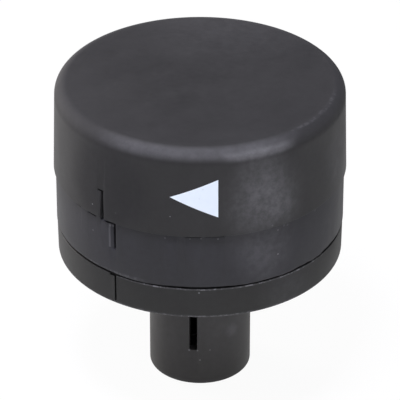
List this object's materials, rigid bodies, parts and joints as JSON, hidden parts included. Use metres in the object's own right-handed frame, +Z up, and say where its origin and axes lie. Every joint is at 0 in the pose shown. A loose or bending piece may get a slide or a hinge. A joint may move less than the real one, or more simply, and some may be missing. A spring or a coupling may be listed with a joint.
{
  "type": "rotary battery switch",
  "caption": "Round black marine battery switch: a drum knob that turns a quarter on a base ring and hollow slotted stem, with a spring-pressed contact bridge inside.",
  "frame": {"origin": "on the knob's turning axis, in the panel plane under the base ring", "axes": "+Z up along the turning axis to the knob's top, -Z down the stem through the panel, the stem's slot at the front, which is -Y"},
  "size_m": [0.058, 0.058, 0.0648],
  "materials": {
    "knob_cap_plastic": "fine matte moulded black",
    "knob_skirt_plastic": "fine matte moulded black",
    "base_ring_plastic": "fine matte moulded black",
    "stem_plastic": "smooth matte moulded black",
    "housing_plastic": "glass-filled moulding",
    "rotor_plastic": "natural moulding",
    "rubber": "matte",
    "copper": "rolled copper strip",
    "silver": "coined contact silver",
    "brass": "turned",
    "bronze": "sintered",
    "steel": "stainless"
  },
  "bodies": {
    "base": {"base_ring": "base_ring_plastic", "stem": "stem_plastic", "contact_housing": "housing_plastic", "drum_cover": "housing_plastic", "panel_gasket": "rubber", "shaft_seal": "rubber", "drum_seal": "rubber", "fixed_contact_left": "copper", "fixed_contact_right": "copper", "fixed_button_left": "silver", "fixed_button_right": "silver", "lower_bush": "bronze", "cover_bush": "bronze", "detent_leaf_left": "steel", "detent_leaf_right": "steel", "contact_screw_left": "steel", "contact_screw_right": "steel", "cover_screw_1": "steel", "cover_screw_2": "steel", "cover_screw_3": "steel", "cover_screw_4": "steel", "ring_screw_1": "steel", "ring_screw_2": "steel", "ring_screw_3": "steel"},
    "knob": {"knob_cap": "knob_cap_plastic", "knob_skirt": "knob_skirt_plastic", "hub_insert": "brass", "drive_shaft": "steel", "rotor": "rotor_plastic", "contact_bridge": "copper", "bridge_button_front": "silver", "bridge_button_back": "silver", "contact_spring_front": "steel", "contact_spring_back": "steel", "thrust_washer": "bronze", "hub_screw": "steel", "hub_screw_washer": "steel"}
  },
  "joints": [
    {"name": "knob_turn", "type": "hinge", "parent": "base", "child": "knob", "pos_m": [0, 0, 0], "axis": [0, 0, 1], "range_deg": [-90, 0], "deforming": ["detent_leaf_left", "detent_leaf_right"]}
  ]
}
